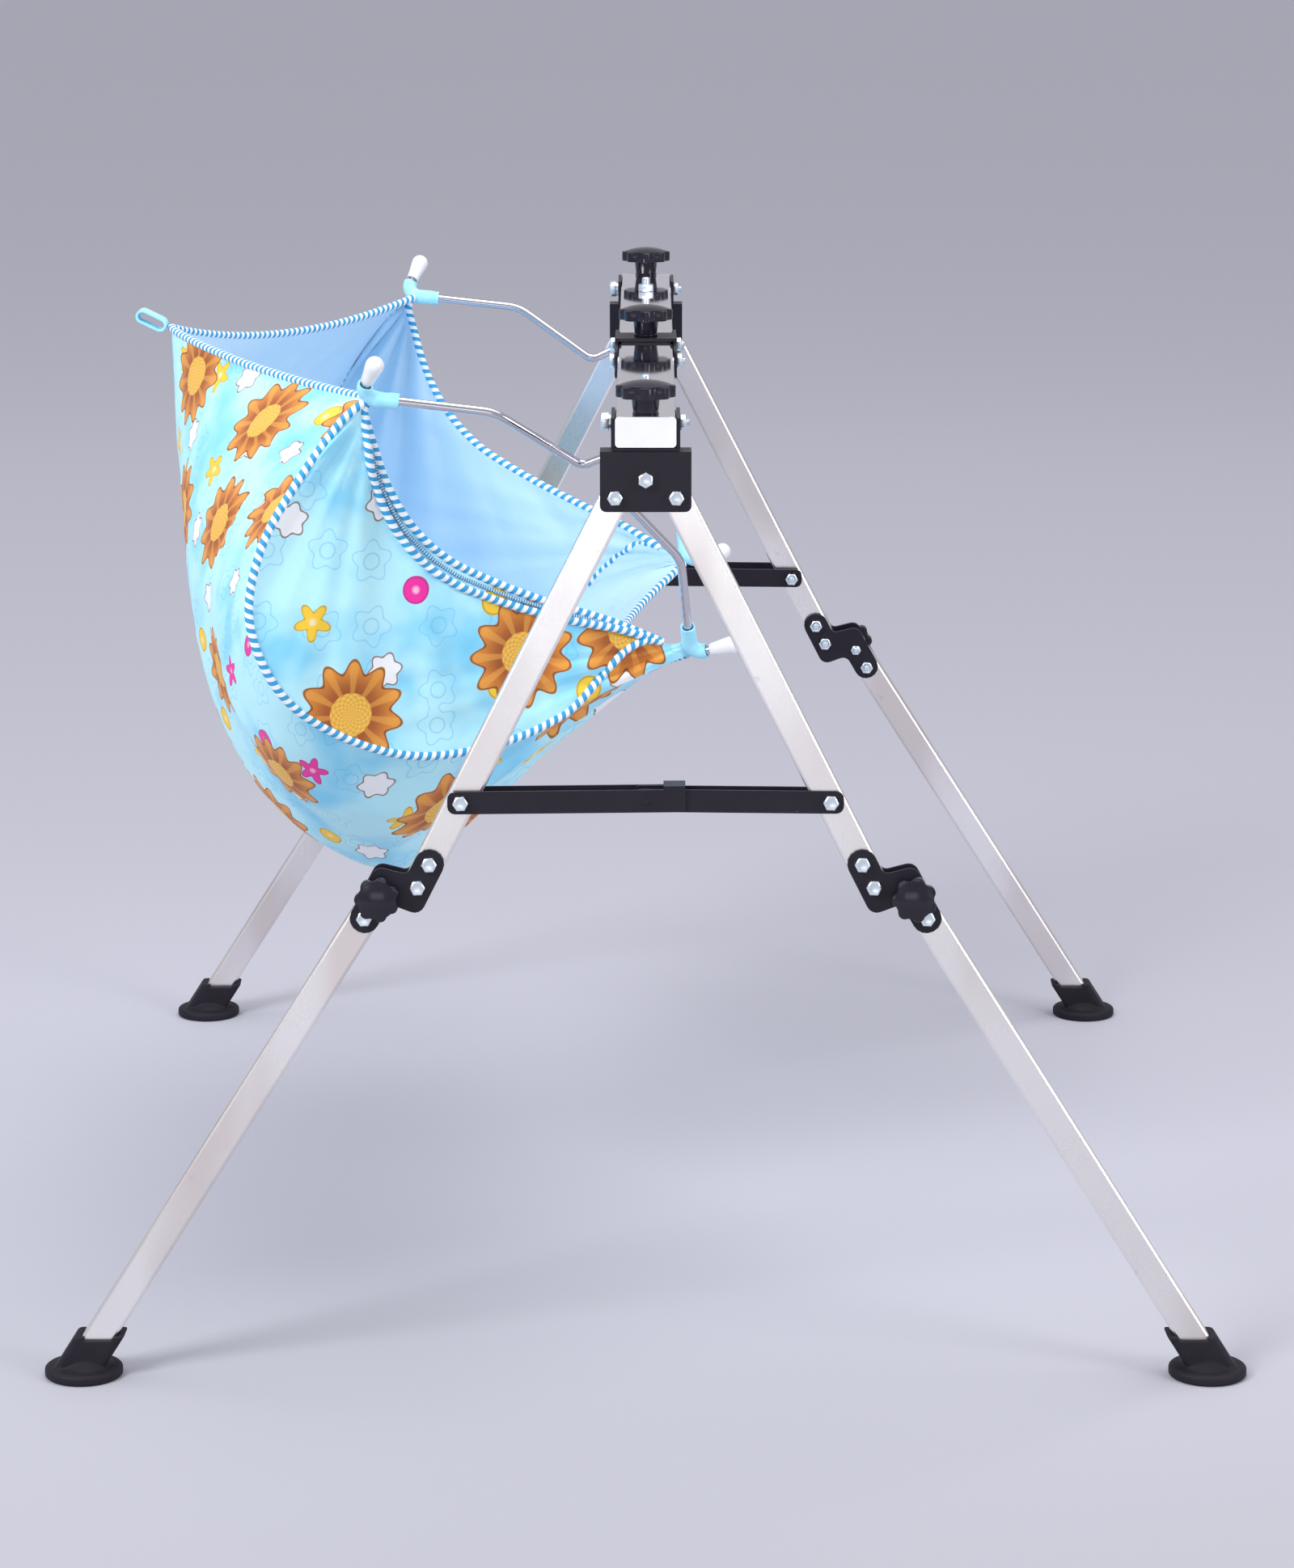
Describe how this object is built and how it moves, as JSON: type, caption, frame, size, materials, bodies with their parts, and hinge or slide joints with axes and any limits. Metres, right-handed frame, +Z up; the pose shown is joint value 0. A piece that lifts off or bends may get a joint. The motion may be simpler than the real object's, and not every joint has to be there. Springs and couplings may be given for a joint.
{
  "type": "hanging baby cradle",
  "caption": "Fabric baby cradle swinging on bent wire hangers under a two-piece steel bar, on folding A-frame legs with knee locks and rubber feet.",
  "frame": {"origin": "on the floor, under the middle of the top bar", "axes": "+Y along the top bar away from the near end, +X to the right seen from the near end, +Z up"},
  "size_m": [1.0308, 1.202, 0.8545],
  "materials": {
    "polished_steel": "polished",
    "leg_steel": "brushed along the tube",
    "black_coat": "satin powder coat",
    "zinc_plate": "bright zinc plate",
    "black_plastic": "satin",
    "white_plastic": "gloss",
    "rubber": "matt moulded",
    "sky_fabric": "printed cotton"
  },
  "bodies": {
    "stand_top": {"near_bar_half": "polished_steel", "near_bar_end_cap": "white_plastic", "near_saddle": "black_coat", "near_saddle_bolt": "zinc_plate", "near_hanger_bolt": "zinc_plate", "near_joint_bolt": "zinc_plate", "near_head_bracket": "black_coat", "near_left_leg_pivot_bolt": "zinc_plate", "near_right_leg_pivot_bolt": "zinc_plate", "far_bar_half": "polished_steel", "far_bar_end_cap": "white_plastic", "far_saddle": "black_coat", "far_saddle_bolt": "zinc_plate", "far_hanger_bolt": "zinc_plate", "far_joint_bolt": "zinc_plate", "far_head_bracket": "black_coat", "far_left_leg_pivot_bolt": "zinc_plate", "far_right_leg_pivot_bolt": "zinc_plate", "bar_joint_bracket": "black_coat"},
    "near_left_leg": {"near_left_upper_leg": "leg_steel", "near_left_knee_outer_plate": "black_coat", "near_left_knee_inner_plate": "black_coat"},
    "near_left_shin": {"near_left_lower_leg": "leg_steel", "near_left_foot": "rubber"},
    "near_left_lock": {"near_left_knee_knob": "black_plastic"},
    "near_brace_double": {"near_brace_double_link": "black_coat"},
    "near_right_leg": {"near_right_upper_leg": "leg_steel", "near_right_knee_outer_plate": "black_coat", "near_right_knee_inner_plate": "black_coat"},
    "near_right_shin": {"near_right_lower_leg": "leg_steel", "near_right_foot": "rubber"},
    "near_right_lock": {"near_right_knee_knob": "black_plastic"},
    "near_brace_single": {"near_brace_outer_strip": "black_coat", "near_brace_inner_strip": "black_coat"},
    "far_right_leg": {"far_right_upper_leg": "leg_steel", "far_right_knee_outer_plate": "black_coat", "far_right_knee_inner_plate": "black_coat"},
    "far_right_shin": {"far_right_lower_leg": "leg_steel", "far_right_foot": "rubber"},
    "far_right_lock": {"far_right_knee_knob": "black_plastic"},
    "far_brace_double": {"far_brace_double_link": "black_coat"},
    "far_left_leg": {"far_left_upper_leg": "leg_steel", "far_left_knee_outer_plate": "black_coat", "far_left_knee_inner_plate": "black_coat"},
    "far_left_shin": {"far_left_lower_leg": "leg_steel", "far_left_foot": "rubber"},
    "far_left_lock": {"far_left_knee_knob": "black_plastic"},
    "far_brace_single": {"far_brace_outer_strip": "black_coat", "far_brace_inner_strip": "black_coat"},
    "near_bar_lock": {"near_bar_knob": "black_plastic"},
    "middle_bar_lock": {"middle_bar_knob": "black_plastic"},
    "far_bar_lock": {"far_bar_knob": "black_plastic"},
    "cradle": {"near_hanger_rod": "polished_steel", "far_hanger_rod": "polished_steel", "near_left_rod_cap": "white_plastic", "near_right_rod_cap": "white_plastic", "far_left_rod_cap": "white_plastic", "far_right_rod_cap": "white_plastic", "cradle_cloth": "sky_fabric", "pull_loop": "sky_fabric"}
  },
  "joints": [
    {"name": "near_left_leg_fold", "type": "hinge", "parent": "stand_top", "child": "near_left_leg", "pos_m": [-0.0255, -0.51497, 0.75288], "axis": [0, -0.9974, 0.0715], "range_deg": [0, 25]},
    {"name": "near_left_knee", "type": "hinge", "parent": "near_left_leg", "child": "near_left_shin", "pos_m": [-0.23701, -0.54032, 0.39922], "axis": [0, 0.9974, -0.0715], "range_deg": [0, 120]},
    {"name": "near_left_knob_turn", "type": "hinge", "parent": "near_left_leg", "child": "near_left_lock", "pos_m": [-0.22525, -0.53899, 0.41777], "axis": [0, 0.9974, -0.0715], "continuous": true},
    {"name": "near_brace_double_fold", "type": "hinge", "parent": "near_left_leg", "child": "near_brace_double", "pos_m": [-0.15535, -0.53327, 0.49759], "axis": [0, -0.9974, 0.0715], "range_deg": [0, 51.5]},
    {"name": "near_right_leg_fold", "type": "hinge", "parent": "stand_top", "child": "near_right_leg", "pos_m": [0.0255, -0.51497, 0.75288], "axis": [0, 0.9974, -0.0715], "range_deg": [0, 25]},
    {"name": "near_right_knee", "type": "hinge", "parent": "near_right_leg", "child": "near_right_shin", "pos_m": [0.23701, -0.54032, 0.39922], "axis": [0, -0.9974, 0.0715], "range_deg": [0, 120]},
    {"name": "near_right_knob_turn", "type": "hinge", "parent": "near_right_leg", "child": "near_right_lock", "pos_m": [0.22525, -0.53899, 0.41777], "axis": [0, 0.9974, -0.0715], "continuous": true},
    {"name": "near_brace_single_fold", "type": "hinge", "parent": "near_right_leg", "child": "near_brace_single", "pos_m": [0.15535, -0.53327, 0.49759], "axis": [0, 0.9974, -0.0715], "range_deg": [0, 51.5]},
    {"name": "far_right_leg_fold", "type": "hinge", "parent": "stand_top", "child": "far_right_leg", "pos_m": [0.0255, 0.51497, 0.75288], "axis": [0, 0.9974, 0.0715], "range_deg": [0, 25]},
    {"name": "far_right_knee", "type": "hinge", "parent": "far_right_leg", "child": "far_right_shin", "pos_m": [0.23701, 0.54032, 0.39922], "axis": [0, -0.9974, -0.0715], "range_deg": [0, 120]},
    {"name": "far_right_knob_turn", "type": "hinge", "parent": "far_right_leg", "child": "far_right_lock", "pos_m": [0.22525, 0.53899, 0.41777], "axis": [0, -0.9974, -0.0715], "continuous": true},
    {"name": "far_brace_double_fold", "type": "hinge", "parent": "far_right_leg", "child": "far_brace_double", "pos_m": [0.15535, 0.53327, 0.49759], "axis": [0, 0.9974, 0.0715], "range_deg": [0, 51.5]},
    {"name": "far_left_leg_fold", "type": "hinge", "parent": "stand_top", "child": "far_left_leg", "pos_m": [-0.0255, 0.51497, 0.75288], "axis": [0, -0.9974, -0.0715], "range_deg": [0, 25]},
    {"name": "far_left_knee", "type": "hinge", "parent": "far_left_leg", "child": "far_left_shin", "pos_m": [-0.23701, 0.54032, 0.39922], "axis": [0, 0.9974, 0.0715], "range_deg": [0, 120]},
    {"name": "far_left_knob_turn", "type": "hinge", "parent": "far_left_leg", "child": "far_left_lock", "pos_m": [-0.22525, 0.53899, 0.41777], "axis": [0, -0.9974, -0.0715], "continuous": true},
    {"name": "far_brace_single_fold", "type": "hinge", "parent": "far_left_leg", "child": "far_brace_single", "pos_m": [-0.15535, 0.53327, 0.49759], "axis": [0, -0.9974, -0.0715], "range_deg": [0, 51.5]},
    {"name": "near_bar_knob_turn", "type": "hinge", "parent": "stand_top", "child": "near_bar_lock", "pos_m": [0, -0.51223, 0.821], "axis": [0, 0, 1], "continuous": true},
    {"name": "middle_bar_knob_turn", "type": "hinge", "parent": "stand_top", "child": "middle_bar_lock", "pos_m": [0, -0.017, 0.824], "axis": [0, 0, 1], "continuous": true},
    {"name": "far_bar_knob_turn", "type": "hinge", "parent": "stand_top", "child": "far_bar_lock", "pos_m": [0, 0.51223, 0.821], "axis": [0, 0, 1], "continuous": true},
    {"name": "cradle_swing", "type": "hinge", "parent": "stand_top", "child": "cradle", "pos_m": [0, 0, 0.7714], "axis": [0, -1, 0], "range_deg": [0, 80]}
  ],
  "couplings": [
    {"joint": "near_left_leg_fold", "follows": "near_right_leg_fold", "ratio": 1},
    {"joint": "near_brace_double_fold", "follows": "near_right_leg_fold", "ratio": 2.0562},
    {"joint": "near_brace_single_fold", "follows": "near_right_leg_fold", "ratio": 2.0562},
    {"joint": "far_right_leg_fold", "follows": "far_left_leg_fold", "ratio": 1},
    {"joint": "far_brace_double_fold", "follows": "far_left_leg_fold", "ratio": 2.0562},
    {"joint": "far_brace_single_fold", "follows": "far_left_leg_fold", "ratio": 2.0562}
  ]
}
